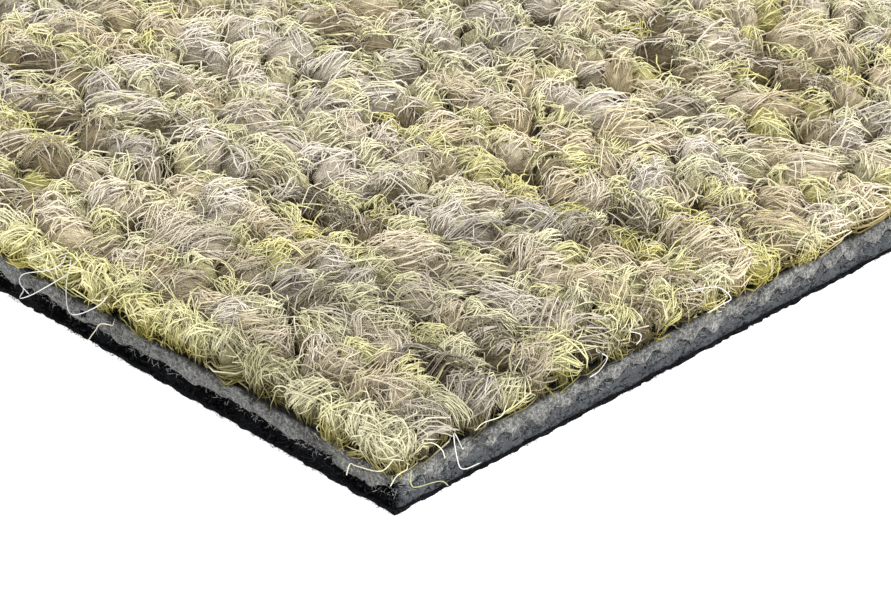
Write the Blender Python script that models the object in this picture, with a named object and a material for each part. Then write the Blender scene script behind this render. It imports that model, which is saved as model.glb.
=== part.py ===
"""A tufted loop-pile carpet tile, 500 mm square, lying flat with its pile up.

The tile is four bonded sheets, from the floor up: a thin fleece, a bitumen backing, a primary backing of
pressed felt that the yarn is stitched through, and the pile. The pile's needle rows run along X, and wide
taupe rows and narrow lime rows take turns along Y. Under the primary backing each row shows again, where
its back stitches hang into the bitumen as a rib.

The origin is the middle of the underside, and +Z points up out of the pile.
"""

import math

import bmesh
import bpy

# The tile's plan, in metres. The rows run along its length
TILE_LENGTH = 0.500
TILE_WIDTH = 0.500

# Thickness of each sheet. The bitumen is measured under the back stitches, and the felt between them
FLEECE_THICKNESS = 0.0004
BITUMEN_THICKNESS = 0.00035
FELT_THICKNESS = 0.0007

# The glue line that is left between two sheets
GLUE_LINE = 0.0003

# The pile: solid roots, and a round crown for each row
ROOT_HEIGHT = 0.0014
TAUPE_CROWN_HEIGHT = 0.00255
LIME_CROWN_HEIGHT = 0.0021
TAUPE_ROW_WIDTH = 0.0029
LIME_ROW_WIDTH = 0.00218

# The back stitches: how far a rib hangs, and the flat strip of bitumen between two ribs
STITCH_DEPTH = 0.0007
STRIP_BETWEEN_STITCHES = 0.0005

# Straight pieces in the half round of a crown and of a rib
ROUND_STEPS = 4

# The finest detail. Points closer than this are one point
SMALLEST_STEP = 0.000001

# What follows from the sizes above
NEEDLE_GAUGE = (TAUPE_ROW_WIDTH + LIME_ROW_WIDTH) / 2
BITUMEN_BOTTOM = FLEECE_THICKNESS + GLUE_LINE
BITUMEN_TOP = BITUMEN_BOTTOM + BITUMEN_THICKNESS + STITCH_DEPTH
FELT_BOTTOM = BITUMEN_TOP + GLUE_LINE
FELT_TOP = FELT_BOTTOM + FELT_THICKNESS
PILE_BOTTOM = FELT_TOP + GLUE_LINE
ROOT_TOP = PILE_BOTTOM + ROOT_HEIGHT
BACK_EDGE = TILE_WIDTH / 2
FRONT_EDGE = -BACK_EDGE


def clear_scene():
    for found in list(bpy.data.objects):
        bpy.data.objects.remove(found, do_unlink=True)


def make_material(name, colour, roughness):
    material = bpy.data.materials.new(name)
    material.use_nodes = True
    shader = material.node_tree.nodes["Principled BSDF"]
    shader.inputs["Base Color"].default_value = (*colour, 1.0)
    shader.inputs["Roughness"].default_value = roughness
    shader.inputs["Metallic"].default_value = 0.0
    return material


def rows_across_tile():
    """Centre, width and crown height of each row. The front row is lime, and the back edge may cut one."""
    rows = []
    start = FRONT_EDGE
    while start < BACK_EDGE:
        is_lime = len(rows) % 2 == 0
        width = LIME_ROW_WIDTH if is_lime else TAUPE_ROW_WIDTH
        crown = LIME_CROWN_HEIGHT if is_lime else TAUPE_CROWN_HEIGHT
        rows.append((start + width / 2, width, crown))
        start += width
    return rows


def half_round(centre, half_width, level, rise):
    """Points of a half ellipse that stands on a level, or hangs from it where the rise is negative."""
    points = []
    for step in range(ROUND_STEPS + 1):
        angle = math.pi * step / ROUND_STEPS
        points.append((centre - half_width * math.cos(angle), level + rise * math.sin(angle)))
    return points


def point_at(y, before, after):
    share = (y - before[0]) / (after[0] - before[0])
    return (y, before[1] + share * (after[1] - before[1]))


def between_edges(points):
    """A line of (y, z) points, cut off at the tile's front and back edge, without repeated points."""
    cut = []
    for before, after in zip(points, points[1:]):
        if after[0] - before[0] < SMALLEST_STEP or after[0] <= FRONT_EDGE or before[0] >= BACK_EDGE:
            continue
        start = point_at(FRONT_EDGE, before, after) if before[0] < FRONT_EDGE else before
        end = point_at(BACK_EDGE, before, after) if after[0] > BACK_EDGE else after
        for point in (start, end):
            if not cut or math.dist(point, cut[-1]) > SMALLEST_STEP:
                cut.append(point)
    return cut


def flat_line(level):
    return [(FRONT_EDGE, level), (BACK_EDGE, level)]


def crown_line():
    points = []
    for centre, width, crown in rows_across_tile():
        points += half_round(centre, width / 2, ROOT_TOP, crown)
    return between_edges(points)


def stitch_line(level, clearance):
    """A flat line at this level with a rib hanging under each row, wider by the clearance on each side."""
    half_width = (NEEDLE_GAUGE - STRIP_BETWEEN_STITCHES) / 2 - GLUE_LINE + clearance
    points = [(FRONT_EDGE, level)]
    for centre, _, _ in rows_across_tile():
        points += half_round(centre, half_width, level, -STITCH_DEPTH)
    points.append((max(BACK_EDGE, points[-1][0]), level))
    return between_edges(points)


def sheet_along_rows(name, lower_line, upper_line, material):
    """A sheet whose section lies between two lines of (y, z), drawn out along X over the whole length."""
    mesh = bpy.data.meshes.new(name)
    section = bmesh.new()
    outline = lower_line + upper_line[::-1]
    corners = [section.verts.new((-TILE_LENGTH / 2, y, z)) for y, z in outline]
    end = section.faces.new(corners)
    drawn = bmesh.ops.extrude_face_region(section, geom=[end])
    moved = [item for item in drawn["geom"] if isinstance(item, bmesh.types.BMVert)]
    bmesh.ops.translate(section, vec=(TILE_LENGTH, 0, 0), verts=moved)
    bmesh.ops.recalc_face_normals(section, faces=section.faces)
    section.to_mesh(mesh)
    section.free()
    sheet = bpy.data.objects.new(name, mesh)
    sheet.data.materials.append(material)
    bpy.context.scene.collection.objects.link(sheet)


def build_base_fleece():
    black = make_material("black_fleece", (0.012, 0.012, 0.014), 0.95)
    sheet_along_rows("base_fleece", flat_line(0.0), flat_line(FLEECE_THICKNESS), black)


def build_bitumen_backing():
    """The bitumen, with a channel round each rib of back stitches."""
    slate = make_material("slate_bitumen", (0.045, 0.05, 0.057), 0.75)
    channels = stitch_line(BITUMEN_TOP, GLUE_LINE)
    sheet_along_rows("bitumen_backing", flat_line(BITUMEN_BOTTOM), channels, slate)


def build_primary_backing():
    grey = make_material("grey_felt", (0.30, 0.30, 0.29), 0.95)
    ribs = stitch_line(FELT_BOTTOM, 0.0)
    sheet_along_rows("primary_backing", ribs, flat_line(FELT_TOP), grey)


def build_loop_pile():
    yarn = make_material("taupe_and_lime_yarn", (0.42, 0.38, 0.24), 0.9)
    sheet_along_rows("loop_pile", flat_line(PILE_BOTTOM), crown_line(), yarn)


def main():
    clear_scene()
    build_base_fleece()
    build_bitumen_backing()
    build_primary_backing()
    build_loop_pile()


main()
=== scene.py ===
"""The looks of a tufted loop-pile carpet tile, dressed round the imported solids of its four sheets.

Shapes are worked out in millimetres. A place on the tile is (across, along, height): across is measured
from the tile's front edge, over the needle rows, along from its right edge, down the rows, and height from
its underside. Single fibres are modelled only near the corner where both are zero, which faces the camera.
"""

import itertools
import math

import bpy
import numpy as np
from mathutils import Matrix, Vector


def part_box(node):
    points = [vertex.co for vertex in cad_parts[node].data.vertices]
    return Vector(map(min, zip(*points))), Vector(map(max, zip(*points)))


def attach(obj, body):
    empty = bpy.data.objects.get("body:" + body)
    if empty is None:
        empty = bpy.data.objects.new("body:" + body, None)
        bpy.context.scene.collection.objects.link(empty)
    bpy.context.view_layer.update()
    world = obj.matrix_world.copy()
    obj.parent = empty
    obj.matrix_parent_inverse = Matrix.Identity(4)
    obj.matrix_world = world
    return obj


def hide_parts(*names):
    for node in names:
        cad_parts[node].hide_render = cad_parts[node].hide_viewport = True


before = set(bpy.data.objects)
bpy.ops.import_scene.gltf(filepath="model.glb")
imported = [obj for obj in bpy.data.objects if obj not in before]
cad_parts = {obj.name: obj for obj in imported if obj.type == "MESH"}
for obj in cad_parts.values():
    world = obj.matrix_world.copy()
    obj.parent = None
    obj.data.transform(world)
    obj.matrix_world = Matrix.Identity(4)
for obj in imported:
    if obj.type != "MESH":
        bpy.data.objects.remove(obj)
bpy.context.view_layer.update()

MM = 0.001
UP = np.array([0, 0, 1])

# The tile, from its solids
low_corner, high_corner = (np.array(corner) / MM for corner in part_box("loop_pile"))
TILE_WIDTH = high_corner[1] - low_corner[1]
TILE_LENGTH = high_corner[0] - low_corner[0]
FELT_TOP = low_corner[2]
FLEECE_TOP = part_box("base_fleece")[1][2] / MM

# Needle rows, as in the solids
TAUPE_ROW_WIDTH = 2.9
LIME_ROW_WIDTH = 2.18
NEEDLE_GAUGE = (TAUPE_ROW_WIDTH + LIME_ROW_WIDTH) / 2
LOOP_PITCH = 2.8

# The camera: the photograph's frame, and the place and slant that its perspective gives
FRAME_WIDTH, FRAME_HEIGHT = 891, 594
FOCAL_LENGTH_PX = 4000
SENSOR_WIDTH = 36
CAMERA_ACROSS, CAMERA_ALONG, CAMERA_HEIGHT = -154.37, -163.25, 147.70
CAMERA_TURN = math.radians(45.73)
CAMERA_TILT = math.radians(30.18)

# How far outside the picture fibres are still modelled one by one, in pixels
FRAME_MARGIN = 14

# Colours, as linear red, green and blue
TAUPE_LIGHT = (0.74, 0.67, 0.56)
TAUPE_MIDDLE = (0.46, 0.396, 0.27)
TAUPE_DARK = (0.20, 0.166, 0.104)
LIME_BRIGHT = (0.74, 0.70, 0.35)
LIME_PALE = (0.84, 0.79, 0.54)
LIME_OLIVE = (0.31, 0.286, 0.10)
# The dark bed under the single fibres: painted shade
BED_SHADE = (0.088, 0.0616, 0.0104)


def to_world(places):
    """Points given as (across, along, height), in metres in the solids' frame."""
    across, along, height = np.moveaxis(np.asarray(places, float), -1, 0)
    return np.stack([high_corner[0] - along, low_corner[1] + across, height], -1) * MM


def joined(*columns):
    """Rows from their columns: places from across, along and height, or faces from their corners."""
    return np.stack(np.broadcast_arrays(*columns), -1).reshape(-1, len(columns))


def unit(vectors):
    return vectors / np.maximum(np.linalg.norm(vectors, axis=-1, keepdims=True), 1e-9)


def mix(first, second, share):
    share = np.asarray(share, float)[..., None]
    return np.asarray(first) * (1 - share) + np.asarray(second) * share


def smooth(low, high, values):
    """0 below low, 1 above high, and an S between them."""
    share = np.clip((values - low) / (high - low), 0, 1)
    return share * share * (3 - 2 * share)


NOISE_TABLE = np.random.default_rng(11).uniform(-1, 1, 8192)
NOISE_STRIDES = np.array([73856093, 19349663, 83492791])


def noise(places, size, seed):
    """Smooth random values from -1 to 1 at places (..., 3), in blobs of about this size."""
    cells = np.asarray(places, float) / size
    low = np.floor(cells).astype(np.int64)
    part = cells - low
    part = part * part * (3 - 2 * part)
    total = np.zeros(cells.shape[:-1])
    for corner in itertools.product((0, 1), repeat=3):
        weight = np.where(corner, part, 1 - part).prod(-1)
        index = ((low + corner) * NOISE_STRIDES).sum(-1) + seed * 7919
        total += weight * NOISE_TABLE[index % len(NOISE_TABLE)]
    return total


# The camera comes first, because the layout asks what it sees

CAMERA_PLACE = np.array([CAMERA_ACROSS, CAMERA_ALONG, CAMERA_HEIGHT])
FORWARD = np.array([
    math.cos(CAMERA_TILT) * math.cos(CAMERA_TURN),
    math.cos(CAMERA_TILT) * math.sin(CAMERA_TURN),
    -math.sin(CAMERA_TILT),
])
RIGHTWARD = np.array([math.sin(CAMERA_TURN), -math.cos(CAMERA_TURN), 0])
DOWNWARD = np.cross(FORWARD, RIGHTWARD)


def in_picture(places, margin):
    """Whether the camera's picture, with a margin in pixels round it, holds these places."""
    seen = np.asarray(places) - CAMERA_PLACE
    depth = seen @ FORWARD
    left = FRAME_WIDTH / 2 + FOCAL_LENGTH_PX * (seen @ RIGHTWARD) / depth
    down = FRAME_HEIGHT / 2 + FOCAL_LENGTH_PX * (seen @ DOWNWARD) / depth
    inside_width = (left > -margin) & (left < FRAME_WIDTH + margin)
    return inside_width & (down > -margin) & (down < FRAME_HEIGHT + margin)


def make_camera():
    data = bpy.data.cameras.new("camera")
    data.sensor_fit = "HORIZONTAL"
    data.sensor_width = SENSOR_WIDTH
    data.lens = SENSOR_WIDTH * FOCAL_LENGTH_PX / FRAME_WIDTH
    data.clip_start = 0.01
    data.clip_end = 200
    camera = bpy.data.objects.new("camera", data)
    camera.location = to_world(CAMERA_PLACE)
    ahead = Vector(to_world(CAMERA_PLACE + FORWARD) - to_world(CAMERA_PLACE))
    camera.rotation_euler = ahead.to_track_quat("-Z", "Y").to_euler()
    bpy.context.scene.collection.objects.link(camera)
    bpy.context.scene.camera = camera


# Materials

class Surface:
    """A new material, with short ways to add and link its nodes."""

    def __init__(self, name, roughness, sheen=0.0, specular=0.0):
        self.material = bpy.data.materials.new(name)
        self.material.use_nodes = True
        self.tree = self.material.node_tree
        self.shader = self.tree.nodes["Principled BSDF"].inputs
        self.shader["Roughness"].default_value = roughness
        self.shader["Sheen Weight"].default_value = sheen
        self.shader["Specular IOR Level"].default_value = specular

    def add(self, kind, settings=(), **inputs):
        node = self.tree.nodes.new(kind)
        for name, value in dict(settings).items():
            setattr(node, name, value)
        for name, value in inputs.items():
            self.set(node.inputs[name], value)
        return node

    def set(self, socket, value):
        if isinstance(value, bpy.types.NodeSocket):
            self.tree.links.new(value, socket)
        else:
            socket.default_value = value

    def attribute(self, name, output):
        return self.add("ShaderNodeAttribute", {"attribute_name": name}).outputs[output]

    def tint(self):
        return self.attribute("tint", "Color")

    def places(self):
        return self.add("ShaderNodeTexCoord").outputs["Object"]

    def scaled(self, scale, turn=0.0):
        """Places turned about the upright, and scaled along each axis."""
        node = self.add("ShaderNodeMapping", Vector=self.places())
        node.inputs["Rotation"].default_value = (0, 0, turn)
        node.inputs["Scale"].default_value = scale
        return node.outputs["Vector"]

    def noise(self, vector, scale, detail=3.0, roughness=0.6):
        node = self.add("ShaderNodeTexNoise", Vector=vector, Scale=scale, Detail=detail, Roughness=roughness)
        return node.outputs["Fac"]

    def ramp(self, factor, *stops):
        """A colour ramp with stops of (position, grey or colour)."""
        node = self.add("ShaderNodeValToRGB", Fac=factor)
        elements = node.color_ramp.elements
        while len(elements) < len(stops):
            elements.new(0.5)
        for element, (position, colour) in zip(elements, stops):
            element.position = position
            element.color = (*((colour,) * 3 if isinstance(colour, float) else colour), 1.0)
        return node.outputs["Color"]

    def blend(self, kind, factor, first, second):
        node = self.add("ShaderNodeMix", {"data_type": "RGBA", "blend_type": kind})
        for index, value in ((0, factor), (6, first), (7, second)):
            self.set(node.inputs[index], value)
        return node.outputs[2]

    def times(self, first, second):
        return self.blend("MULTIPLY", 1.0, first, second)

    def finish(self, colour, relief=None, strength=1.0, depth=0.0):
        """The material, with this colour, and raised by the relief to this depth in metres."""
        self.set(self.shader["Base Color"], colour)
        if relief is not None:
            bump = self.add("ShaderNodeBump", Height=relief, Strength=strength, Distance=depth)
            self.set(self.shader["Normal"], bump.outputs["Normal"])
        return self.material


def fibre_material(name):
    """Single fibres: each one's tint, faintly mottled along its length."""
    look = Surface(name, 0.65, specular=0.05)
    mottle = look.ramp(look.noise(look.places(), 1500, 2.0), (0.3, 0.78), (0.7, 1.0))
    return look.finish(look.times(look.tint(), mottle))


def loop_material(name):
    """The body of a loop: fine dark and light streaks along the yarn, raised as fibres, with painted shade in
    the dark ones.
    """
    look = Surface(name, 0.9)
    streak = look.noise(look.attribute("grain", "Vector"), 1.0, 4.0, 0.75)
    shade = look.ramp(streak, (0.38, (0.46, 0.42, 0.35)), (0.5, (0.78, 0.76, 0.71)), (0.6, 1.0))
    return look.finish(look.times(look.tint(), shade), streak, 1.0, 0.0003)


def field_material(name):
    """Pile seen from afar: the loops' tints, broken up by slanting strands, with painted shade between them.
    """
    look = Surface(name, 0.85, 0.1, 0.1)
    strands = look.noise(look.scaled((1.0, 3.2, 1.0), math.radians(38)), 900, 5.0, 0.8)
    shade = look.ramp(strands, (0.36, (0.34, 0.30, 0.23)), (0.5, (0.76, 0.73, 0.68)), (0.6, 1.0))
    clumps = look.ramp(look.noise(look.places(), 420, 2.0), (0.35, 0.52), (0.6, 1.0))
    tint = look.times(look.tint(), clumps)
    return look.finish(look.times(tint, shade), strands, 0.9, 0.0006)


def felt_material():
    """Light grey pressed fibres, speckled with darker latex."""
    look = Surface("grey_felt", 0.95, 0.1, 0.1)
    place = look.places()
    fine = look.noise(place, 4200, 4.0, 0.75)
    grey = look.ramp(
        fine, (0.36, (0.03, 0.03, 0.028)), (0.5, (0.118, 0.118, 0.112)), (0.63, (0.29, 0.29, 0.275))
    )
    patches = look.ramp(look.noise(place, 900, 3.0), (0.34, 0.5), (0.6, 0.95))
    return look.finish(look.times(look.times(grey, patches), look.tint()), fine, 0.9, 0.0002)


def bitumen_material():
    """Slate compound: dull grey where the knife cut it clean, black in its long cracks, with rusty grit."""
    look = Surface("slate_bitumen", 0.7)
    place = look.places()
    layers = look.noise(look.scaled((0.42, 0.42, 1.0)), 1500, 4.0, 0.65)
    cracks = look.ramp(layers, (0.42, 1.0), (0.437, 0.06), (0.447, 0.06), (0.466, 1.0))
    pits = look.ramp(look.noise(place, 1900, 3.0, 0.6), (0.30, 0.15), (0.42, 1.0))
    open_crack = look.times(cracks, pits)
    mottle = look.noise(place, 3800, 4.0, 0.75)
    grey = look.ramp(
        mottle, (0.3, (0.042, 0.045, 0.049)), (0.5, (0.064, 0.068, 0.073)), (0.75, (0.095, 0.1, 0.106))
    )
    is_grit = look.ramp(look.noise(place, 900, 1.0), (0.77, 0.0), (0.80, 1.0))
    rusty = look.blend("MIX", is_grit, look.times(grey, open_crack), (0.35, 0.17, 0.07, 1.0))
    colour = look.times(rusty, look.tint())
    return look.finish(colour, look.times(mottle, open_crack), 0.8, 0.0002)


def fleece_material():
    look = Surface("black_fleece", 1.0)
    fibres = look.noise(look.places(), 2600, 5.0, 0.75)
    black = look.ramp(fibres, (0.38, (0.002, 0.002, 0.0025)), (0.7, (0.016, 0.017, 0.02)))
    return look.finish(black, fibres, 1.0, 0.0003)


def floor_material():
    look = Surface("white_floor", 0.9, specular=0.3)
    look.shader["Emission Color"].default_value = (1, 1, 1, 1)
    look.shader["Emission Strength"].default_value = 0.45
    return look.finish((0.93, 0.93, 0.93, 1.0))


# Meshes from arrays

def make_piece(name, places, faces, material, tint=None, grain=None, flat_faces=()):
    """A piece on the root body. Faces are arrays of corner indices, one array for each number of corners."""
    mesh = bpy.data.meshes.new(name)
    every = [np.asarray(group) for group in (*faces, *flat_faces) if len(group)]
    smooth_count = sum(len(group) for group in faces)
    mesh.vertices.add(len(places))
    mesh.vertices.foreach_set("co", to_world(places).astype(np.float32).ravel())
    corners = np.concatenate([group.ravel() for group in every]).astype(np.int32)
    sizes = np.concatenate([np.full(len(group), group.shape[1]) for group in every])
    starts = np.concatenate([[0], np.cumsum(sizes)[:-1]]).astype(np.int32)
    mesh.loops.add(len(corners))
    mesh.loops.foreach_set("vertex_index", corners)
    mesh.polygons.add(len(sizes))
    mesh.polygons.foreach_set("loop_start", starts)
    mesh.polygons.foreach_set("use_smooth", np.arange(len(sizes)) < smooth_count)
    mesh.update(calc_edges=True)
    if tint is not None:
        colours = np.concatenate([tint, np.ones((len(tint), 1))], 1)
        layer = mesh.attributes.new("tint", "FLOAT_COLOR", "POINT")
        layer.data.foreach_set("color", colours.astype(np.float32).ravel())
    if grain is not None:
        layer = mesh.attributes.new("grain", "FLOAT_VECTOR", "POINT")
        layer.data.foreach_set("vector", grain.astype(np.float32).ravel())
    mesh.materials.append(material)
    piece = bpy.data.objects.new(name, mesh)
    bpy.context.scene.collection.objects.link(piece)
    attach(piece, "root")
    return piece


TUBE_SIDES = 3


def tubes(paths, radii, sideways):
    """Closed tubes with pointed ends round paths (tube, point, place). Sideways is across each path.

    Returns places and faces. A tube's places are its first point, then the rings, then its last point.
    """
    count, steps, _ = paths.shape
    ahead = unit(np.gradient(paths, axis=1))[:, 1:-1]
    first = unit(np.cross(ahead, sideways[:, None, :]))
    second = np.cross(ahead, first)
    angles = np.arange(TUBE_SIDES) * 2 * math.pi / TUBE_SIDES
    spokes = np.cos(angles)[:, None] * first[:, :, None] + np.sin(angles)[:, None] * second[:, :, None]
    rings = paths[:, 1:-1, None] + radii[:, None, None, None] * spokes
    places = np.concatenate([paths[:, :1], rings.reshape(count, -1, 3), paths[:, -1:]], 1)
    each = places.shape[1]
    base = (np.arange(count) * each)[:, None, None]
    side = np.arange(TUBE_SIDES)
    after = (side + 1) % TUBE_SIDES
    row = 1 + np.arange(steps - 3)[:, None] * TUBE_SIDES
    wall = joined(row + side, row + TUBE_SIDES + side, row + TUBE_SIDES + after, row + after)
    last = each - 1 - TUBE_SIDES
    ends = [joined(0, side + 1, after + 1), joined(last + after, last + side, each - 1)]
    ends = base + np.concatenate(ends)
    return places.reshape(-1, 3), [(base + wall).reshape(-1, 4), ends.reshape(-1, 3)]


def tube_tints(tints):
    """Colours at the points of each path, spread over the places that tubes() gives."""
    rings = np.repeat(tints[:, 1:-1], TUBE_SIDES, axis=1)
    return np.concatenate([tints[:, :1], rings, tints[:, -1:]], 1).reshape(-1, 3)


def curve(controls, steps):
    """Points on the curves whose four control points are given as (curve, 4, place)."""
    share = np.linspace(0, 1, steps)[:, None]
    rest = 1 - share
    weights = np.concatenate([rest ** 3, 3 * share * rest ** 2, 3 * share ** 2 * rest, share ** 3], 1)
    return np.einsum("sk,ckp->csp", weights, controls)


# Bends that neighbours share: the size of a blob that moves together, and a random seed
WIDE_BEND, FINE_BEND = (2.3, 71), (0.85, 81)


def bent(paths, reach, size, seed):
    """The paths, pushed about smoothly, so that neighbours bend together."""
    pushes = np.stack([noise(paths, size, seed + axis) for axis in range(3)], -1)
    return paths + reach * pushes * np.array([1, 1, 0.6])


# The loops: one table for the whole tile

# How much lighter the yarn is away from the photographed corner
LIME_LIFT, TAUPE_LIFT = 2.5, 1.5

# No yarn reflects more light than this
LIGHTEST_YARN = 0.56

# How much of its hue the lightest yarn loses: a painted highlight that washes it towards white
HIGHLIGHT_WASH = 0.1

# What is left of a tint at the yarn's root under its painted shade, at the photographed corner and away from
# it
CORNER_ROOT_SHADE, INLAND_ROOT_SHADE = (0.4, 0.35, 0.18), (0.5, 0.45, 0.3)

# The same where cut yarn shows its shaded root
EDGE_ROOT_SHADE = (0.2, 0.185, 0.1)


def capped(tints):
    """The tints with the lightest ones held back, and washed a little towards white as a painted highlight.
    """
    most = np.maximum(tints.max(-1, keepdims=True), 1e-6)
    held = np.tanh(most / LIGHTEST_YARN)
    return mix(tints / most, 1.0, HIGHLIGHT_WASH * held[..., 0] ** 3) * LIGHTEST_YARN * held


def root_shaded(tints, height, loops):
    """The tints (loop, point, colour) with painted shade: darker and warmer as the height (loop, point) falls
    from 1 to 0.
    """
    depth = mix(CORNER_ROOT_SHADE, INLAND_ROOT_SHADE, inland(loops))
    depth = mix(depth, EDGE_ROOT_SHADE, near_edge(loops))[:, None]
    return tints * (depth + (1 - depth) * height[..., None])


# Height over the felt, half length and half width of a loop in a lime row and in a taupe row
LIME_LOOP, TAUPE_LOOP = (3.35, 1.6, 1.3), (3.75, 2.2, 1.6)
LOWEST_LOOP, HIGHEST_LOOP = 2.3, 4.7

# How far loops stray from their even places and heights, and the front row's share of it along the row
ALONG_SCATTER, ACROSS_SCATTER, HEIGHT_SCATTER = 0.5, 0.34, 0.36
FRONT_ROW_SCATTER = 0.4

# How far the first row leans out over the front edge
FRONT_ROW_LEAN = 0.35

# No loop's middle comes nearer to the tile's edge than this
NEAREST_EDGE = 0.35

# Degrees that loops are turned by: all of them, and at random most of them and the unruly ones
LEAN, USUAL_TURN, UNRULY_TURN = -18, 30, 75
UNRULY_SHARE = 0.22

# How light a loop's yarn is, from its darkest colour at 0 to its palest at 1, and how much that varies
LIME_LIGHTNESS, TAUPE_LIGHTNESS, LIGHT_SCATTER = 0.74, 0.52, 0.25

# How deep the patches of darker loops are in each kind of row, and the darkest and lightest of them
LIME_PATCH, TAUPE_PATCH = 0.8, 1.9
DARKEST, LIGHTEST = 0.26, 1.5

# How much of the corner's light and dark patches the rest of the tile has
EVEN_PATCHES = 0.18
EVEN_SHADE = 0.4


class Loops:
    """Every loop of the pile as arrays of shape (row, loop in the row)."""

    def __init__(self):
        dice = np.random.default_rng(3)
        rows = math.ceil(TILE_WIDTH / NEEDLE_GAUGE)
        in_row = round(TILE_LENGTH / LOOP_PITCH)
        shape = (rows, in_row)
        lime_row = np.arange(rows) % 2 == 0
        self.lime = lime_row[:, None] & np.ones(shape, bool)
        widths = np.where(lime_row, LIME_ROW_WIDTH, TAUPE_ROW_WIDTH)
        self.row_edges = np.concatenate([[0.0], np.cumsum(widths)])
        self.pitch = TILE_LENGTH / in_row
        column = np.arange(in_row)[None]
        self.along = (column + dice.uniform(0.17, 0.42, (rows, 1))) * self.pitch
        scatter = np.where(np.arange(rows)[:, None] > 0, 1, FRONT_ROW_SCATTER) * (column > 0)
        self.along += dice.normal(0, ALONG_SCATTER, shape) * scatter
        self.across = (self.row_edges[:-1] + widths / 2)[:, None] + dice.normal(0, ACROSS_SCATTER, shape)
        self.across[0] -= FRONT_ROW_LEAN
        self.across = self.across.clip(NEAREST_EDGE)
        self.along = self.along.clip(NEAREST_EDGE)
        top, length, width = (np.where(self.lime, *pair) for pair in zip(LIME_LOOP, TAUPE_LOOP))
        drift = self._patches(24.0, 5) + 0.6 * self._patches(9.0, 6)
        top = top + 0.3 * drift + dice.normal(0, HEIGHT_SCATTER, shape)
        self.height = np.clip(top, LOWEST_LOOP, HIGHEST_LOOP)
        self.half_length = length * dice.uniform(0.68, 1.4, shape)
        self.half_width = width * dice.uniform(0.72, 1.3, shape)
        spread = np.where(dice.random(shape) < UNRULY_SHARE, UNRULY_TURN, USUAL_TURN)
        self.turn = np.radians(LEAN + spread * dice.normal(0, 1, shape) + 24 * self._patches(12.0, 7))
        patch = 0.85 * self._patches(6.5, 8) + 0.32 * self._patches(22, 9)
        own = np.where(self.lime, LIME_LIGHTNESS, TAUPE_LIGHTNESS) + dice.normal(0, LIGHT_SCATTER, shape)
        depth = np.where(self.lime, LIME_PATCH, TAUPE_PATCH)
        shade = np.exp(dice.normal(0, 0.28, shape) + depth * self._patches(5.0, 10) + 0.03)
        shade = shade.clip(DARKEST, LIGHTEST)[..., None]
        self.tint = self._tints(np.clip(own + patch, 0, 1)) * shade
        self.even_tint = self._tints(np.clip(own + EVEN_PATCHES * patch, 0, 1)) * shade ** EVEN_SHADE

    def _patches(self, size, seed):
        level = np.zeros(self.across.shape)
        return noise(np.stack([self.across, self.along, level], -1), size, seed)

    def _tints(self, light):
        taupe = mix(TAUPE_DARK, TAUPE_MIDDLE, np.clip(light * 2, 0, 1))
        taupe = mix(taupe, TAUPE_LIGHT, np.clip(light * 2 - 1, 0, 1))
        lime = mix(LIME_OLIVE, LIME_BRIGHT, np.clip(light * 2.2, 0, 1))
        lime = mix(lime, LIME_PALE, np.clip(light * 1.6 - 0.88, 0, 1))
        return np.where(self.lime[..., None], lime, taupe)

    def pick(self, chosen):
        """The chosen loops as flat arrays."""
        names = "along across height half_length half_width turn lime tint".split()
        return {name: getattr(self, name)[chosen] for name in names}


def level_axes(turn):
    """Level directions along the yarn and beside it, for loops turned this far."""
    return joined(np.cos(turn), np.sin(turn), 0), joined(-np.sin(turn), np.cos(turn), 0)


# A loop's body: its rings and corners, the end rings' latitude in degrees, and its size within the fibres
CORE_RINGS, CORE_SIDES = 3, 7
END_RING = 58
CORE_SHARE, EDGE_CORE_LOSS = 0.82, 0.42

# How fine a loop's streaks are round it and along it
STREAKS = (16, 16, 1.6)
LOOP_MIDDLE_SHARE = 0.42


def on_loop(loops, latitude, longitude, swell):
    """Places on the loops' rounded bodies. Latitude runs along the yarn, longitude round it from the top."""
    ahead, beside = level_axes(loops["turn"])
    extra = latitude.ndim - 1

    def wide(values):
        return values.reshape(values.shape[:1] + (1,) * extra + values.shape[1:])

    rise = loops["height"] * (1 - LOOP_MIDDLE_SHARE)
    level = FELT_TOP + loops["height"] * LOOP_MIDDLE_SHARE
    middle = joined(loops["across"], loops["along"], level)
    reach = wide(loops["half_length"]) * np.sin(latitude) * swell
    girth = np.cos(latitude) * swell
    side = wide(loops["half_width"]) * girth * np.sin(longitude)
    lift = wide(rise) * girth * np.cos(longitude)
    return (
        wide(middle)
        + reach[..., None] * wide(ahead)
        + side[..., None] * wide(beside)
        + lift[..., None] * UP
    )


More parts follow.
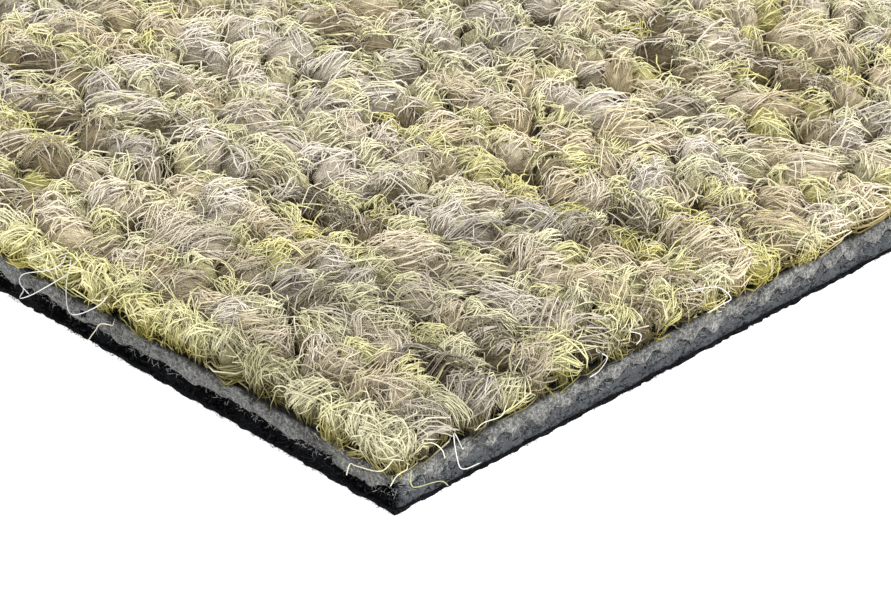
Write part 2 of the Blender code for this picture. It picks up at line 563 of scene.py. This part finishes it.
def loop_cores(loops, dice):
    """The loops' bodies: closed lens shapes with their poles at the ends of the yarn's arc."""
    count = len(loops["turn"])
    ring = np.radians(np.linspace(-END_RING, END_RING, CORE_RINGS))
    turn = np.arange(CORE_SIDES) * 2 * math.pi / CORE_SIDES
    latitude = np.broadcast_to(ring[:, None], (count, CORE_RINGS, CORE_SIDES))
    longitude = np.broadcast_to(turn, latitude.shape)
    share = (CORE_SHARE * (1 - EDGE_CORE_LOSS * near_edge(loops)))[:, None]
    swell = share[..., None] * dice.uniform(0.9, 1.08, latitude.shape)
    body = on_loop(loops, latitude, longitude, swell)
    poles = on_loop(loops, np.full((count, 2), (-math.pi / 2, math.pi / 2)), np.zeros((count, 2)), share)
    places = np.concatenate([body.reshape(count, -1, 3), poles], 1)
    each = places.shape[1]
    base = (np.arange(count) * each)[:, None, None]
    side = np.arange(CORE_SIDES)
    after = (side + 1) % CORE_SIDES
    here = np.arange(CORE_RINGS - 1)[:, None] * CORE_SIDES
    there = here + CORE_SIDES
    walls = (base + joined(here + side, there + side, there + after, here + after)).reshape(-1, 4)
    last = (CORE_RINGS - 1) * CORE_SIDES
    caps = [joined(side, after, each - 2), joined(last + after, last + side, each - 1)]
    caps = (base + np.concatenate(caps)).reshape(-1, 3)
    round_it = np.concatenate([longitude.reshape(count, -1), np.zeros((count, 2))], 1)
    along_it = np.concatenate([latitude.reshape(count, -1), np.tile([-1.6, 1.6], (count, 1))], 1)
    grain = np.stack([np.cos(round_it), np.sin(round_it), along_it], -1) * STREAKS
    grain += dice.uniform(0, 300, (count, 1, 3))
    places = bent(places, 0.42, *WIDE_BEND)
    # Painted shade: the loop's body darkens down towards the felt
    low = smooth(FELT_TOP, FELT_TOP + 3.4, places[..., 2])
    lift = 1.1 + (np.where(loops["lime"], LIME_LIFT, TAUPE_LIFT) + 0.15) * inland(loops)
    tint = root_shaded(loops["tint"][:, None] * lift[:, None, None], low, loops)
    return places.reshape(-1, 3), [walls, caps], capped(tint).reshape(-1, 3), grain.reshape(-1, 3)


FIBRE_RADIUS = 0.045
CRIMP = 0.035

# The lowest and the highest that a fibre lies, from the felt
LOWEST_FIBRE, HIGHEST_FIBRE = -0.2, 5.3

# The share of fibres that lie loosely in their lock, and how much more loosely
LOOSE_SHARE = 0.3
LOOSER = 3.5


class Locks:
    """Random columns for fibres in locks: alike within a lock, with a little of each fibre's own."""

    def __init__(self, owner, per_loop, dice):
        self.dice = dice
        self.lock = owner * per_loop + dice.integers(0, per_loop, len(owner))
        self.count = (owner.max(initial=0) + 1) * per_loop
        self.loose = np.where(dice.random(len(owner)) < LOOSE_SHARE, LOOSER, 1.0)

    def _alike(self, values, own):
        return (values[self.lock] + own * self.loose * self.dice.normal(0, 1, len(self.lock)))[:, None]

    def uniform(self, low, high, own):
        return self._alike(self.dice.uniform(low, high, self.count), own)

    def normal(self, middle, spread, own):
        return self._alike(self.dice.normal(middle, spread, self.count), own)


def arching_fibres(own, points, locks):
    """Fibres that arch over their loop, from one root towards the other."""
    step = np.linspace(0, 1, points)[None]
    start = locks.uniform(-88, -25, 8)
    end = locks.uniform(25, 88, 8)
    latitude = np.radians(start + (end - start) * step)
    from_top = np.clip(locks.normal(0, 62, 14), -128, 128)
    longitude = np.radians(from_top + locks.normal(15, 34, 8) * (step - 0.5))
    swell = locks.uniform(0.84, 1.14, 0.05).clip(0.6, 1.3)
    paths = on_loop(own, latitude, longitude, swell * np.ones_like(step))
    _, beside = level_axes(own["turn"])
    wave = locks.uniform(0, 2 * math.pi, 0.4) + step * locks.uniform(4, 11, 0.5)
    size = locks.uniform(0.04, 0.28, 0.03)
    paths += (np.sin(wave) * size)[..., None] * beside[:, None]
    paths[..., 2] += np.cos(wave * 0.9) * size * 0.7
    return paths, beside


def stray_fibres(own, points, locks):
    """Fibres that come out of their loop's top and lie across the next ones."""
    ahead, beside = level_axes(own["turn"] + locks.uniform(0, 2 * math.pi, 0.12)[:, 0])
    length = locks.uniform(1.2, 4.2, 0.25).clip(0.8, 4.8)
    middle = joined(own["across"], own["along"], FELT_TOP + own["height"] * 0.86)
    middle += beside * locks.normal(0, 0.5, 0.13) + ahead * locks.normal(0, 0.4, 0.2)
    middle += UP * locks.normal(0, 0.12, 0.06)
    lift = UP * locks.uniform(-0.1, 0.8, 0.08)
    sway = beside * locks.normal(0, 0.8, 0.1)
    start = middle - ahead * length * 0.45 - UP * 0.9
    finish = middle + ahead * length * 0.55 + sway * 0.7 + lift * 0.15 - UP * locks.uniform(0.0, 0.9, 0.1)
    controls = np.stack([start, start + ahead * length * 0.2 + UP * 1.3, middle + lift + sway, finish], 1)
    return curve(controls, points), beside


def outward_pull(loops):
    """For loops near the two cut edges that the camera sees: the way out, and how near the edge they are."""
    front = 1 - smooth(0.6, 2.6, loops["across"])
    right = 1 - smooth(0.8, 2.8, loops["along"])
    return unit(joined(-front, -right, 0) + 1e-6), np.maximum(front, right)


def near_edge(loops):
    return outward_pull(loops)[1]


def edge_fibres(own, points, locks):
    """Cut yarn at the tile's edges: curly fibres that rise from a loop's root, lean out and droop."""
    root = joined(own["across"], own["along"], FELT_TOP - 0.3)
    out, _ = outward_pull(own)
    front = (-out[:, :1]).clip(0, 1) ** 2
    beside = joined(-out[:, 1], out[:, 0], 0)
    root += beside * locks.normal(0, 0.3, 0.15) - out * locks.uniform(-0.35, 0.6, 0.1)
    spread = beside * locks.normal(0, 0.66, 0.36) * (1 + 0.5 * front)
    reach = out * locks.uniform(-0.45, 0.9, 0.22).clip(-0.9, 0.9)
    top = UP * own["height"][:, None] * locks.uniform(0.45, 1.0, 0.07)
    droop = top * locks.uniform(0.52, 1.12, 0.16).clip(0.46, 1.3)
    controls = np.stack([
        root,
        root + top * 0.8 + spread * 0.2 - out * 0.1,
        root + top * 1.15 + spread * 0.7 + reach * 0.55,
        root + droop + spread + reach,
    ], 1)
    paths = curve(controls, points)
    step = np.linspace(0, 1, points)[None]
    swing = locks.uniform(0, 2 * math.pi, 1.2) + step * locks.uniform(3, 9, 1.0)
    size = step ** 0.7 * locks.uniform(0.08, 0.42, 0.07)
    paths += (np.cos(swing) * size)[..., None] * beside[:, None]
    paths += (np.sin(swing) * size)[..., None] * (out * 0.6 + UP * 0.8)[:, None]
    return paths, beside


# The share of locks that are paler than their loop, and that come from the other yarn
PALE_SHARE, STRANGE_SHARE = 0.34, 0.08


def fibre_tints(own, paths, locks):
    """A colour for each point of each fibre: its loop's yarn, some locks paler, all in painted shade at the
    root.
    """
    calm = 1 - 0.45 * inland(own)[:, None]
    light = 1 + (locks.normal(0.0, 0.12, 0.09) * calm).clip(-0.35, 0.25)
    pale = locks.uniform(0, 1, 0.12) < PALE_SHARE
    lime = own["lime"][:, None]
    strange = locks.uniform(0, 1, 0.04) < STRANGE_SHARE
    paler = np.where(lime, LIME_PALE, TAUPE_LIGHT)
    other = np.where(lime, TAUPE_MIDDLE, LIME_BRIGHT)
    tint = np.where(pale, mix(own["tint"], paler, 0.36), own["tint"])
    tint = np.where(strange, mix(tint, other, 0.6), tint) * light
    tint *= 0.95 + np.where(lime, LIME_LIFT, TAUPE_LIFT) * inland(own)[:, None]
    # Painted shade: fibres darken towards their roots, and further up on loops near the cut edges
    level = paths[..., 2] - FELT_TOP - 0.6 * near_edge(own)[:, None] + locks.normal(0, 0.2, 0.1)
    root = smooth(-0.1, 2.5, level)
    return capped(root_shaded(tint[:, None], root, own))


def inland(loops):
    """0 at the corner that faces the camera, and 1 on the rest of the tile, where the yarn is lighter."""
    return smooth(8, 62, np.hypot(1.3 * loops["across"], 0.95 * loops["along"]))


def near_share(loops):
    """1 at the corner that faces the camera, falling towards the far side of the picture."""
    return 1 - smooth(12, 62, np.hypot(loops["across"], loops["along"]))


FAR_FIBRES, NEAR_FIBRES = 32, 50
STRAY_SHARE = 0.22
FIBRE_SPREAD, LOCK_SPREAD = math.radians(22), math.radians(4)
ARCHING_LOCKS, STRAY_LOCKS, EDGE_LOCKS = 8, 4, 14
EDGE_FIBRES = 145

# Fibres further than this from the photographed corner are made of fewer points, and are a little thicker
NEAR_REACH = 45
FAR_THICKER = 0.22

# Points of a fibre near the corner, far from it, and on the cut edges
NEAR_POINTS, FAR_POINTS, EDGE_POINTS = 6, 5, 7

# No piece of single fibres holds more than this many triangles. A piece stays well
# under the number of triangles that one piece may have
TRIANGLES_IN_PIECE = 190000


def fibre_group(kind, loops, number, per_loop, points, dice):
    """This many fibres of one kind on each loop: paths, the way across each, tints and radii."""
    owner = np.repeat(np.arange(len(number)), number)
    own = {name: values[owner] for name, values in loops.items()}
    locks = Locks(owner, per_loop, dice)
    own["turn"] = own["turn"] + locks.normal(0, FIBRE_SPREAD, LOCK_SPREAD)[:, 0]
    paths, beside = kind(own, points, locks)
    paths[:, 1:-1] += dice.normal(0, CRIMP, paths[:, 1:-1].shape)
    paths = bent(bent(paths, 0.46, *WIDE_BEND), 0.21, *FINE_BEND)
    paths[..., 2] = paths[..., 2].clip(FELT_TOP + LOWEST_FIBRE, FELT_TOP + HIGHEST_FIBRE)
    overhang = 0.1 + 0.5 * (paths[..., 2:] - FELT_TOP).clip(0) + 0.25 * noise(paths, 1.6, 91)[..., None]
    paths[..., :2] = np.maximum(paths[..., :2], -overhang)
    radii = FIBRE_RADIUS * dice.uniform(0.65, 1.3, len(paths)) * (1 + FAR_THICKER * inland(own))
    return paths, beside, fibre_tints(own, paths, locks), radii


def corner_fibres(loops, dice):
    """Every fibre of the chosen loops, in named groups whose fibres have the same number of points."""
    near = np.hypot(loops["across"], loops["along"]) < NEAR_REACH
    total = np.round(FAR_FIBRES + (NEAR_FIBRES - FAR_FIBRES) * near_share(loops)).astype(int)
    stray = np.round(total * STRAY_SHARE).astype(int)
    arching = total - stray
    fullness = dice.uniform(0.4, 1.3, len(total))
    edge = np.round(EDGE_FIBRES * fullness * near_edge(loops)).astype(int)
    groups = {
        name: [
            (arching_fibres, arching * mine, ARCHING_LOCKS, points),
            (stray_fibres, stray * mine, STRAY_LOCKS, points),
        ]
        for name, mine, points in (("near_fibres", near, NEAR_POINTS), ("far_fibres", ~near, FAR_POINTS))
    }
    groups["edge_fibres"] = [(edge_fibres, edge, EDGE_LOCKS, EDGE_POINTS)]
    for name, kinds in groups.items():
        parts = [fibre_group(kind, loops, *numbers, dice) for kind, *numbers in kinds]
        yield name, [np.concatenate(values) for values in zip(*parts)]


def build_corner_pile(loops):
    """Loops with single fibres, wherever the camera's picture reaches."""
    middle = np.stack([loops.across, loops.along, FELT_TOP + loops.height * 0.7], -1)
    seen = in_picture(middle, FRAME_MARGIN)
    chosen = loops.pick(seen)
    dice = np.random.default_rng(21)
    places, faces, tint, grain = loop_cores(chosen, dice)
    make_piece("corner_loops", places, faces, loop_material("loop_yarn"), tint, grain)
    material = fibre_material("yarn_fibre")
    for name, (paths, beside, tints, radii) in corner_fibres(chosen, dice):
        order = np.argsort(np.hypot(paths[:, 0, 0], paths[:, 0, 1]))
        in_piece = TRIANGLES_IN_PIECE // (2 * TUBE_SIDES * (paths.shape[1] - 2))
        for number, first in enumerate(range(0, len(order), in_piece)):
            mine = order[first:first + in_piece]
            places, faces = tubes(paths[mine], radii[mine], beside[mine])
            tint = tube_tints(tints[mine])
            make_piece(f"{name}_{number + 1}", places, faces, material, tint)
    return seen


# The rest of the pile: two shoulders, one saddle and shared valleys for each loop

FIELD_INSET = 0.35
HIDDEN_INSET = 1.2
HIDDEN_PEAK, HIDDEN_SADDLE, HIDDEN_VALLEY = 1.5, 1.1, 0.7
VALLEY_HEIGHT = 1.35
SADDLE_SHARE = 0.62
FIELD_LIGHT = 1.45
# Tint of the first shoulder, and the painted shade of the saddles and valleys between loops
FIRST_TINT, SADDLE_SHADE, VALLEY_SHADE = 0.93, 0.6, 0.5

# How far a loop's two shoulders are from its middle, along the row
SHOULDER_REACH = 0.62


def field_lines(loops, hidden):
    """Places and tints of the field's crest and valley lines, over the whole tile.

    A crest line has a saddle, two shoulders, a saddle and so on to a last saddle. A valley line has one place
    for each saddle. Where single fibres hide a loop, the field is only its bed, dark with painted shade.
    """
    rows, count = loops.across.shape
    last_column = ((0, 0), (0, 1))
    hidden_saddle = np.pad(hidden, last_column, "edge")
    hidden_valley = np.pad(hidden_saddle, ((0, 1), (0, 0)), "edge")
    hidden_valley[1:] |= hidden_saddle

    inset = np.where(hidden_valley, HIDDEN_INSET, FIELD_INSET)
    valley = np.empty((rows + 1, count + 1, 3))
    valley[..., 0] = np.clip(loops.row_edges[:, None], inset, TILE_WIDTH - inset)
    valley[..., 1] = np.clip(np.arange(count + 1) * loops.pitch, inset, TILE_LENGTH - inset)
    valley[..., 2] = FELT_TOP + np.where(hidden_valley, HIDDEN_VALLEY, VALLEY_HEIGHT)
    saddles = (valley[:-1] + valley[1:]) / 2
    level = np.pad(loops.height, last_column, "edge") * SADDLE_SHARE
    saddles[..., 2] = FELT_TOP + np.where(hidden_saddle, HIDDEN_SADDLE, level)
    low_side, high_side = valley[:-1, :-1], valley[1:, 1:]
    dice = np.random.default_rng(44)
    shape = loops.across.shape
    shoulders = []
    for side in (-1, 1):
        across = loops.across + dice.uniform(-0.17, 0.17, shape)
        along = loops.along + side * SHOULDER_REACH * dice.uniform(0.8, 1.2, shape)
        level = (loops.height - 0.15) * dice.uniform(0.86, 1.0, shape)
        level = np.where(hidden, HIDDEN_PEAK, level)
        shoulders.append(np.stack([
            across.clip(low_side[..., 0] + 0.5, high_side[..., 0] - 0.5),
            along.clip(low_side[..., 1] + 0.75 + side * 0.3, high_side[..., 1] - 0.75 + side * 0.3),
            FELT_TOP + level,
        ], -1))

    tint = loops.even_tint * FIELD_LIGHT
    # Painted shade: saddles and valleys between the loops are darker than the crests
    saddle_tint = np.pad(tint, (*last_column, (0, 0)), "edge") * SADDLE_SHADE
    valley_tint = np.pad(saddle_tint, ((0, 1), (0, 0), (0, 0)), "edge") * VALLEY_SHADE
    # Painted shade: under loops that single fibres hide, the field takes the dark bed's colour
    tint = np.where(hidden[..., None], BED_SHADE, tint)
    saddle_tint = np.where(hidden_saddle[..., None], BED_SHADE, saddle_tint)
    valley_tint = np.where(hidden_valley[..., None], BED_SHADE, valley_tint)
    crest = np.empty((rows, 3 * count + 1, 3))
    crest[:, 0::3], crest[:, 1::3], crest[:, 2::3] = saddles, *shoulders
    crest_tint = np.empty(crest.shape)
    crest_tint[:, 0::3], crest_tint[:, 1::3], crest_tint[:, 2::3] = saddle_tint, tint * FIRST_TINT, tint
    return crest, valley, capped(crest_tint), valley_tint


def build_field(name, lines, first, last, material):
    """A closed sheet of lumpy rows, from the first row up to the last."""
    crest, crest_tint = (line[first:last] for line in (lines[0], lines[2]))
    valley, valley_tint = (line[first:last + 1] for line in (lines[1], lines[3]))
    rows, points, _ = crest.shape
    valley_index = np.arange(valley[..., 0].size).reshape(valley.shape[:2])
    crest_index = valley_index.size + np.arange(rows * points).reshape(rows, points)
    one, two, saddle = crest_index[:, 1::3], crest_index[:, 2::3], crest_index[:, 0::3]
    before, after = saddle[:, :-1], saddle[:, 1:]
    below, above = valley_index[:-1], valley_index[1:]
    (low, low_after), (high, high_after) = ((line[:, :-1], line[:, 1:]) for line in (below, above))
    triangles = np.concatenate([joined(*corners) for corners in (
        (low, before, one), (low, one, low_after), (low_after, one, two), (low_after, two, after),
        (high, high_after, two), (high, two, one), (high, one, before), (high_after, after, two),
    )])
    far_end = joined(valley_index[:-1, -1], crest_index[:, -1]).ravel()
    near_end = joined(valley_index[:-1, 0], crest_index[:, 0]).ravel()
    rim = np.concatenate([valley_index[0, :-1], far_end, valley_index[-1, ::-1], near_end[:0:-1]])
    top = np.concatenate([valley.reshape(-1, 3), crest.reshape(-1, 3)])
    top_tint = np.concatenate([valley_tint.reshape(-1, 3), crest_tint.reshape(-1, 3)])
    foot = top[rim].copy()
    foot[:, 2] = FELT_TOP
    foot_index = len(top) + np.arange(len(rim))
    foot_after = np.roll(foot_index, -1)
    skirt = joined(rim, np.roll(rim, -1), foot_after, foot_index)
    bottom = joined(foot_index, foot_after, len(top) + len(rim))
    middle = foot.mean(0, keepdims=True)
    places = np.concatenate([top, foot, middle])
    # Painted shade: the skirt down the field's sides is much darker than the rim above it
    tint = np.concatenate([top_tint, top_tint[rim] * 0.3, top_tint[:1]])
    return make_piece(name, places, [triangles], material, tint, flat_faces=[skirt, bottom])


# The cut edges of the three backing sheets

FINE_REACH = 60
FINE_STEP = 0.25
COARSE_STEP = 2.5


def edge_stations():
    """Places round the tile's outline, close together near the corner that faces the camera."""
    fine = np.arange(0, FINE_REACH, FINE_STEP)
    right = np.concatenate([fine, np.arange(FINE_REACH, TILE_WIDTH, COARSE_STEP)])
    front = np.concatenate([fine, np.arange(FINE_REACH, TILE_LENGTH, COARSE_STEP)])[1:]
    across_side = np.arange(0, TILE_LENGTH, COARSE_STEP)
    along_side = np.arange(TILE_WIDTH, 0, -COARSE_STEP)
    return np.concatenate([
        joined(right, 0),
        joined(TILE_WIDTH, across_side),
        joined(along_side, TILE_LENGTH),
        joined(0, np.append(TILE_LENGTH, front[::-1])),
    ])


def slab(name, profile, material, low_line, rough, seed, side_tints=None, upward=0.35):
    """A closed sheet whose edge follows a profile of (inset, height, share) from its underside over its rim.

    low_line moves the profile's points up or down, each by its own share. Each entry of rough is the depth
    and size of the lumps in the edge, and how much flatter than long they are.
    """
    outline = edge_stations()
    centre = np.array([TILE_WIDTH, TILE_LENGTH]) / 2
    outward = outline - centre
    rings = []
    for inset, height, share in profile:
        flat = centre + outward * (1 - inset / centre[0])
        level = np.full(len(outline), height)
        if low_line:
            level = level + share * low_line(outline)
        rings.append(np.concatenate([flat, level[:, None]], 1))
    places = np.stack(rings)
    reach = np.abs(outward) / centre
    away = unit(np.where(reach >= reach.max(1, keepdims=True) - 1e-6, outward, 0))
    plain = places.copy()
    for depth, size, flatter in rough:
        lumps = noise(plain * [1, 1, flatter], size, seed + int(size * 10))
        places[..., :2] += (depth * lumps)[..., None] * away
        places[..., 2] += np.where(plain[..., 2] > 0.1, depth * upward * lumps, 0)
    places[..., 2] = places[..., 2].clip(0)
    index = np.arange(places[..., 0].size).reshape(places.shape[:2])
    here, above = index[:-1], index[1:]
    walls = joined(here, np.roll(here, -1, 1), np.roll(above, -1, 1), above)
    under = joined(np.roll(index[0], -1), index[0], index.size)
    over = joined(index[-1], np.roll(index[-1], -1), index.size + 1)
    caps = np.concatenate([under, over])
    middles = np.array([[*centre, places[0, :, 2].mean()], [*centre, places[-1, :, 2].mean()]])
    every = np.concatenate([places.reshape(-1, 3), middles])
    tint = side_tints(every) if side_tints else None
    return make_piece(name, every, [walls], material, tint, flat_faces=[caps])


def stitch_scallops(outline):
    """How far the felt's lower edge is lifted: raggedly, and less under each row where the rows end."""
    across, along = outline.T
    flat = joined(across, along, 0)
    lobe = np.abs(np.sin(math.pi * across / NEEDLE_GAUGE)) ** 1.5
    at_row_ends = np.minimum(along, TILE_LENGTH - along) < 0.3
    ragged = 0.16 * noise(flat, 0.7, 31) + 0.16 * noise(flat, 2.6, 32)
    corner = 0.4 * (1 - smooth(0.4, 3.0, np.hypot(across, along)))
    hang = 0.75 + 0.4 * noise(flat, 2.0, 35)
    front = 0.1 + 0.34 * noise(flat, 1.5, 36)
    return np.where(at_row_ends, 0.7 - hang * lobe, front) + ragged + corner


def compound_tints(places):
    """Slate, with painted shade that makes it much darker along the front edge."""
    front = 1 - smooth(0.15, 0.9, places[:, 0])
    shade = 0.85 - 0.8 * front * (1 - 0.12 * noise(places, 3.0, 33))
    return np.clip(shade, 0.03, 1)[:, None] * np.ones(3)


def felt_tints(places):
    """Light grey, with painted shade in dark hollows round the yarn's roots and along a duller front edge."""
    inset = np.minimum(places[:, :2], [TILE_WIDTH, TILE_LENGTH] - places[:, :2]).min(1)
    # Painted shade in the hollows round the roots and along the front edge
    hollow_shade = smooth(0.1, 0.42, inset + 0.3 * noise(places, 0.8, 34))
    front = 1 - smooth(0.3, 1.2, places[:, 0])
    return ((1 - 0.93 * hollow_shade) * (1 - 0.3 * front))[:, None] * np.ones(3)


# Edges of the backing sheets, from the underside over the rim: inset, height and share of the scallops
FELT_EDGE = [
    (0.7, 1.62, 0.5), (0.05, 1.5, 1.0), (0.0, 1.72, 0.9), (0.0, 2.0, 0.6), (0.0, 2.3, 0.3), (0.02, 2.58, 0),
    (0.08, 2.78, 0), (0.2, 2.9, 0), (0.4, 2.93, 0), (0.6, 2.8, 0), (0.85, 2.55, 0), (1.5, 2.45, 0),
]
COMPOUND_EDGE = [
    (0.5, 0.36, 0), (0.14, 0.37, 0), (0.1, 0.52, 0), (0.12, 0.88, 0), (0.12, 1.16, 0), (0.12, 1.4, 0),
    (0.14, 1.7, 0), (0.2, 2.2, 0), (0.6, 2.3, 0),
]
FLEECE_EDGE = [(0.9, 0.0, 0), (0.2, 0.0, 0), (0.03, 0.1, 0), (0.0, 0.18, 0), (0.07, 0.3, 0), (0.4, 0.35, 0)]

# Lumps in each edge: depth, size, and how much flatter than long
FELT_LUMPS = [(0.13, 0.42, 1), (0.15, 1.3, 1)]
COMPOUND_LUMPS = [(0.06, 0.45, 1), (0.13, 1.3, 3)]
FLEECE_LUMPS = [(0.16, 0.4, 1), (0.1, 1.2, 1)]


def build_backing():
    felt = slab(
        "felt_sheet", FELT_EDGE, felt_material(), stitch_scallops, FELT_LUMPS, 41,
        felt_tints, upward=1.0,
    )
    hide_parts("primary_backing")
    compound = slab(
        "compound_sheet", COMPOUND_EDGE, bitumen_material(), None, COMPOUND_LUMPS, 51,
        compound_tints,
    )
    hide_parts("bitumen_backing")
    fleece = slab(
        "fleece_sheet", FLEECE_EDGE, fleece_material(), None, FLEECE_LUMPS, 61, upward=0.8
    )
    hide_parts("base_fleece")


# Loose hairs on the cut edges

HAIR_POINTS = 4
HAIR_ROOT_DEPTH = 0.12

# How much of the two edges the camera sees
FRONT_SEEN, RIGHT_SEEN = 47.0, 56.0
EDGE_SHARE_RIGHT = RIGHT_SEEN / (FRONT_SEEN + RIGHT_SEEN)


def edge_hairs(number, levels, lengths, rise, dice):
    """Short curved hairs that stand out from the two cut edges that face the camera. Gives tubes' paths."""
    on_right = dice.random(number) < EDGE_SHARE_RIGHT
    axes = np.eye(3)
    beside = axes[np.where(on_right, 0, 1)]
    out = -axes[np.where(on_right, 1, 0)]
    where = dice.uniform(0, 1, number) * np.where(on_right, RIGHT_SEEN, FRONT_SEEN)
    level = dice.uniform(*levels, number)
    start = beside * where[:, None] + UP * level[:, None] - out * HAIR_ROOT_DEPTH
    column = (number, 1)
    length = dice.uniform(*lengths, column)
    slant = beside * dice.normal(0, 0.8, column) + UP * dice.normal(rise, 0.6, column)
    curl = beside * dice.normal(0, 0.35, column) + UP * dice.normal(0, 0.35, column)
    controls = np.stack([
        start,
        start + (out * 0.5 + slant * 0.2) * length,
        start + (out * 0.8 + slant * 0.6) * length,
        start + (out * 0.7 + slant * 0.9 + curl) * length,
    ], 1)
    paths = curve(controls, HAIR_POINTS)
    paths[..., 2] = paths[..., 2].clip(0.03)
    return paths, beside


# Hairs of each sheet: number, heights on the edge, lengths, rise, radius, colour and slot
HAIRS = {
    "fleece_hairs": (1900, (0.05, 0.6), (0.15, 0.5), -0.1, 0.014, (0.008, 0.008, 0.009), "base_fleece"),
    "compound_fuzz": (900, (0.4, 1.5), (0.12, 0.45), 0.0, 0.015, (0.03, 0.031, 0.034), "bitumen_backing"),
    "felt_hairs": (2300, (1.5, 3.0), (0.15, 0.55), 0.1, 0.016, (0.26, 0.26, 0.245), "primary_backing"),
}


def build_hairs():
    dice = np.random.default_rng(77)
    for name, (number, levels, lengths, rise, radius, colour, slot) in HAIRS.items():
        paths, beside = edge_hairs(number, levels, lengths, rise, dice)
        radii = radius * dice.uniform(0.7, 1.3, number)
        places, faces = tubes(paths, radii, beside)
        tint = np.array(colour) * dice.uniform(0.5, 1.3, (number, HAIR_POINTS, 1))
        make_piece(name, places, faces, fibre_material(name), tube_tints(tint))


# Single strands that hang over the cut edges, as points listed in the picture

WHITE, CREAM, STRAW = (0.55, 0.55, 0.52), (0.57, 0.53, 0.39), (0.33, 0.33, 0.16)
STRAND_POINTS, STRAND_RADIUS = 22, 0.042

# How far outside the cut faces the strands hang, and the way that their first ends go into the pile
STRAND_GAP = 1.1
STRAND_INWARD = np.array([0.6, 0.6, 0.5])

STRANDS = {
    "hook_by_the_left": ("front", WHITE, [(66, 261), (50, 270), (24, 274), (20, 283), (30, 295)]),
    "line_through_the_hook": ("front", WHITE, [(24, 290), (20, 298), (31, 295), (46, 287), (68, 274)]),
    "drop_by_the_left": ("front", WHITE, [(71, 262), (66, 288), (71, 314), (96, 307), (109, 295)]),
    "short_end_by_the_left": ("front", CREAM, [(115, 326), (101, 324), (95, 331), (87, 342)]),
    "bridge_by_the_corner": ("front", CREAM, [(346, 478), (350, 464), (357, 466), (381, 471), (395, 458)]),
    "spike_at_the_corner": ("right", CREAM, [(408, 469), (397, 476), (390, 487)]),
    "arc_by_the_corner": ("right", CREAM, [(421, 444), (433, 443), (442, 450), (445, 459)]),
    "bent_white_end": ("right", WHITE, [(465, 454), (454, 433), (457, 458), (463, 469), (482, 462)]),
    "straw_on_the_compound": ("right", STRAW, [(411, 473), (411, 484), (417, 487), (440, 481), (449, 486)]),
    "long_end_on_the_right": ("right", CREAM, [(474, 432), (483, 423), (501, 416), (506, 405)]),
    "tick_on_the_right": ("right", WHITE, [(595, 351), (607, 357), (600, 370), (589, 378)]),
    "curl_on_the_right": ("right", WHITE, [(628, 331), (640, 334), (640, 340), (636, 345)]),
    "hook_on_the_right": ("right", WHITE, [(688, 291), (717, 287), (731, 298), (721, 305), (706, 314)]),
}


def on_cut_face(left, down, face):
    """Where a point of the picture meets the plane just outside a cut face."""
    beside = (left - FRAME_WIDTH / 2) * RIGHTWARD + (down - FRAME_HEIGHT / 2) * DOWNWARD
    ray = FORWARD + beside / FOCAL_LENGTH_PX
    axis = 0 if face == "front" else 1
    return CAMERA_PLACE + ray * (-STRAND_GAP - CAMERA_PLACE[axis]) / ray[axis]


def smooth_route(points, steps):
    """A smooth line through the points, as this many points."""
    points = np.array(points)
    ends = np.concatenate([2 * points[:1] - points[1:2], points, 2 * points[-1:] - points[-2:-1]])
    where = np.linspace(0, len(points) - 1, steps)
    index = np.minimum(where.astype(int), len(points) - 2)
    share = (where - index)[:, None]
    before, start, finish, after = (ends[index + offset] for offset in range(4))
    return 0.5 * (
        2 * start
        + (finish - before) * share
        + (2 * before - 5 * start + 4 * finish - after) * share ** 2
        + (3 * start - before - 3 * finish + after) * share ** 3
    )


def build_strands():
    paths, tints = [], []
    for face, colour, picture_points in STRANDS.values():
        places = [on_cut_face(left, down, face) for left, down in picture_points]
        paths.append(smooth_route(places, STRAND_POINTS))
        tints.append(np.tile(colour, (STRAND_POINTS, 1)))
    paths = np.array(paths)
    count = len(paths)
    paths[:, 0] += STRAND_INWARD * 0.8
    places, faces = tubes(paths, np.full(count, STRAND_RADIUS), np.tile(STRAND_INWARD, (count, 1)))
    tint = tube_tints(np.array(tints))
    make_piece("loose_strands", places, faces, fibre_material("loose_strand"), tint)


# The floor is a hair above the tile's underside, so that the two faces don't share one plane
FLOOR_LEVEL = 0.03


def build_backdrop():
    floor = bpy.data.meshes.new("floor")
    reach, level = 60, FLOOR_LEVEL * MM
    floor.from_pydata(
        [(-reach, -reach, level), (reach, -reach, level), (reach, reach, level), (-reach, reach, level)],
        [], [(0, 1, 2, 3)],
    )
    floor.materials.append(floor_material())
    ground = bpy.data.objects.new("floor", floor)
    bpy.context.scene.collection.objects.link(ground)


SKY_STRENGTH = 2.3
SUN_STRENGTH = 3.3
SUN_WIDTH = math.radians(14)
TOWARD_SUN = (0.55, 0.30, 0.80)


def build_light():
    world = bpy.data.worlds.new("studio")
    bpy.context.scene.world = world
    world.use_nodes = True
    back = world.node_tree.nodes["Background"]
    back.inputs["Color"].default_value = (1, 1, 1, 1)
    back.inputs["Strength"].default_value = SKY_STRENGTH
    key = bpy.data.lights.new("key", "SUN")
    key.energy = SUN_STRENGTH
    key.angle = SUN_WIDTH
    lamp = bpy.data.objects.new("key", key)
    lamp.rotation_euler = Vector(TOWARD_SUN).to_track_quat("Z", "Y").to_euler()
    bpy.context.scene.collection.objects.link(lamp)
    bpy.context.scene.view_settings.view_transform = "Standard"


make_camera()
build_backdrop()
build_light()
pile = Loops()
seen_loops = build_corner_pile(pile)
field_yarn = field_material("field_yarn")
rows = pile.along.shape[0]
lines = field_lines(pile, seen_loops)
near_field = build_field("pile_front_half", lines, 0, rows // 2, field_yarn)
build_field("pile_back_half", lines, rows // 2, rows, field_yarn)
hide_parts("loop_pile")
build_backing()
build_hairs()
build_strands()
